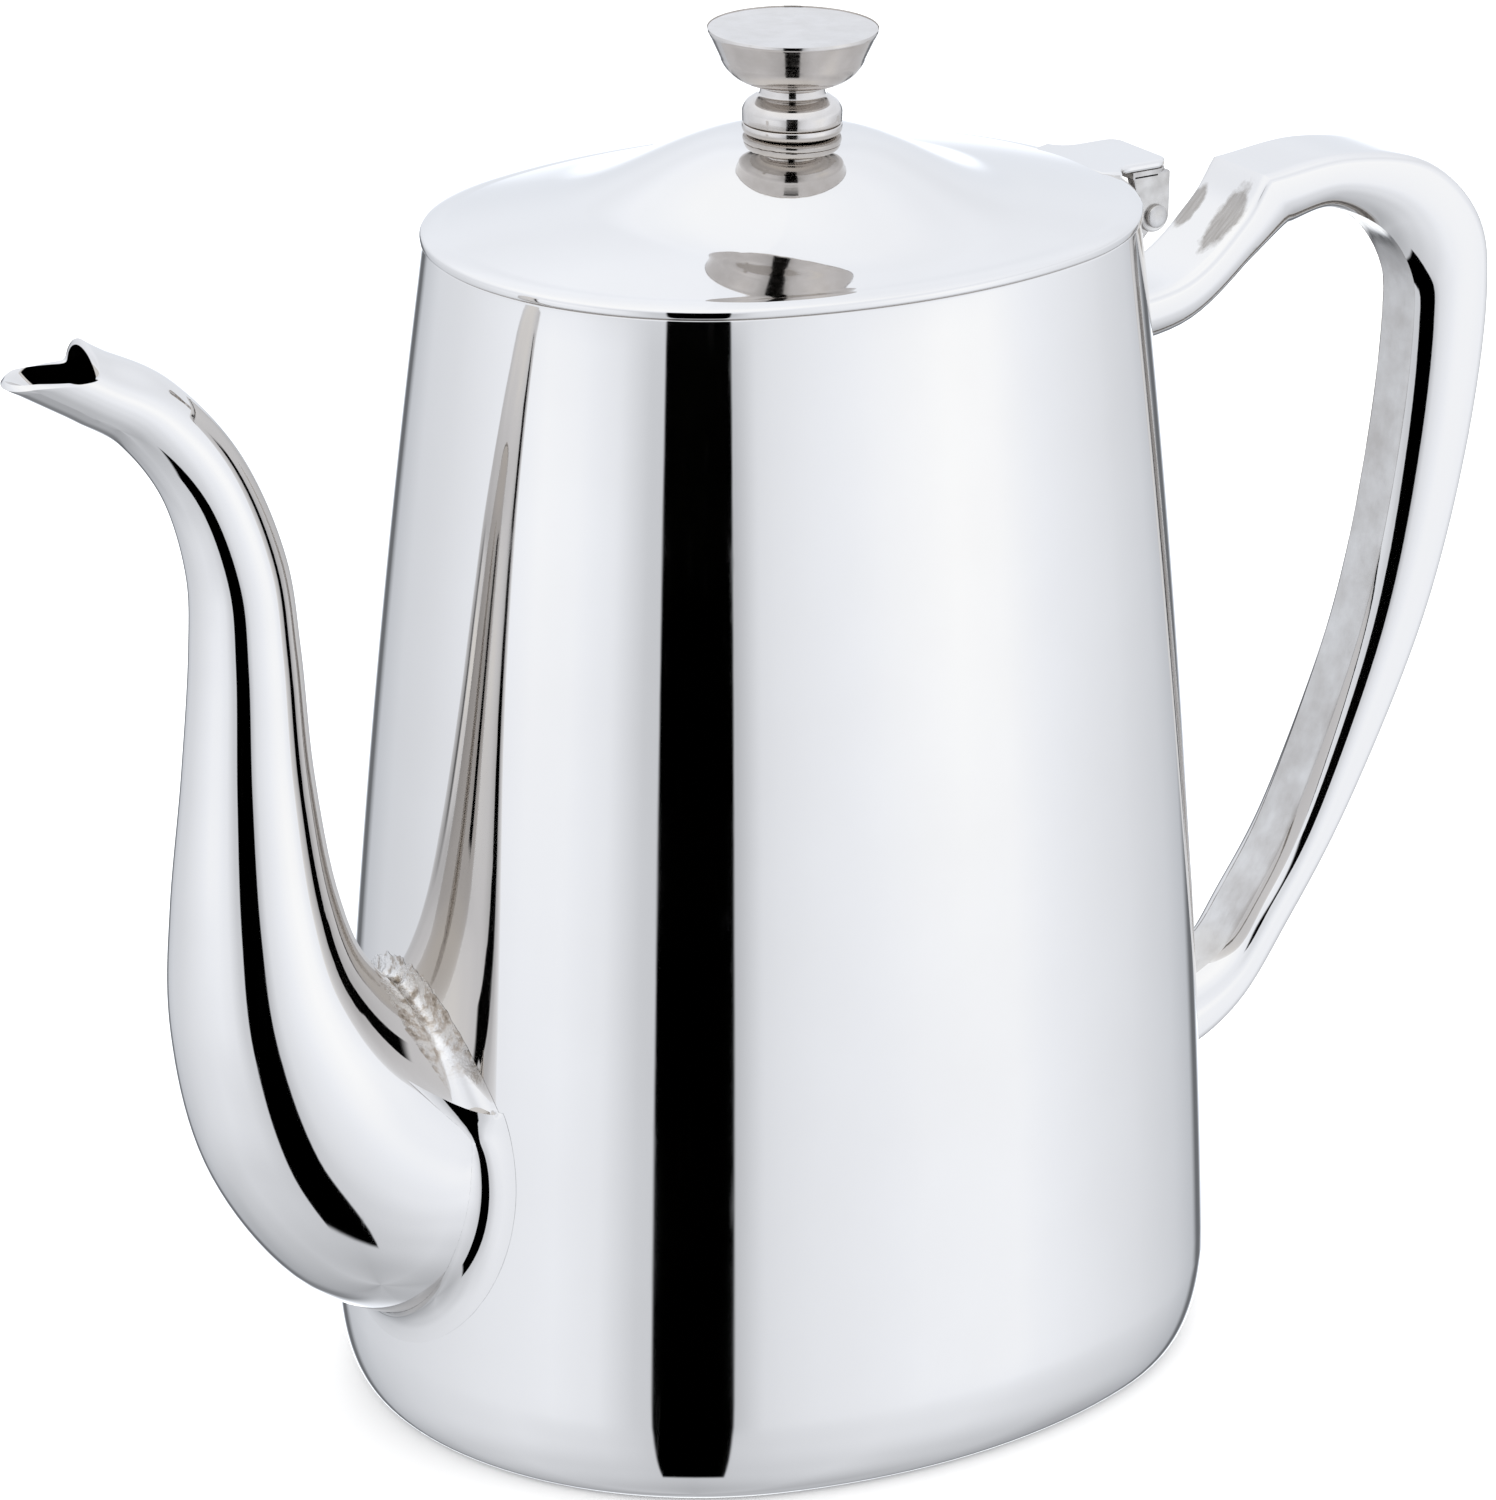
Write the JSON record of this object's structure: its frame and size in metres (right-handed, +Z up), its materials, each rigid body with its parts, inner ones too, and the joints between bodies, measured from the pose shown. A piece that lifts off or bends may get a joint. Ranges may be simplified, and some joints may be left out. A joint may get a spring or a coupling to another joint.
{
  "type": "gooseneck coffee pot",
  "caption": "Oval tapered stainless steel coffee pot with a gooseneck spout, a hollow strap handle and a hinged domed lid with a turned knob.",
  "frame": {"origin": "centre of the flat base, on the surface that the pot stands on", "axes": "+Z up, +X towards the handle, -X towards the spout, +Y the pot's side; the pot is symmetric about the XZ plane"},
  "size_m": [0.2152, 0.0972, 0.1747],
  "materials": {
    "polished_sheet": "mirror-polished stainless sheet",
    "satin_sheet": "satin stainless sheet",
    "weld_metal": "dressed and polished weld and braze metal",
    "cast_fitting": "polished fitting with soft wear",
    "turned_steel": "lathe-turned and polished, fine turning lines",
    "fastener_steel": "plain stainless fasteners"
  },
  "bodies": {
    "pot": {"body_shell": "polished_sheet", "base_plate": "satin_sheet", "mouth_band": "satin_sheet", "spout_left_half": "polished_sheet", "spout_right_half": "polished_sheet", "spout_fillet": "weld_metal", "handle_outer_shell": "polished_sheet", "handle_inner_shell": "polished_sheet", "handle_upper_bead": "weld_metal", "handle_lower_bead": "weld_metal", "hinge_bracket": "cast_fitting"},
    "lid": {"lid_shell": "polished_sheet", "lid_skirt": "satin_sheet", "lid_hinge_leaf": "cast_fitting", "hinge_pin": "cast_fitting", "knob": "turned_steel", "knob_ring": "turned_steel", "knob_screw": "fastener_steel", "knob_spring_washer": "fastener_steel", "knob_flat_washer": "fastener_steel"}
  },
  "joints": [
    {"name": "lid_hinge", "type": "hinge", "parent": "pot", "child": "lid", "pos_m": [0.0525, 0, 0.1447], "axis": [0, 1, 0], "range_deg": [0, 125]}
  ]
}
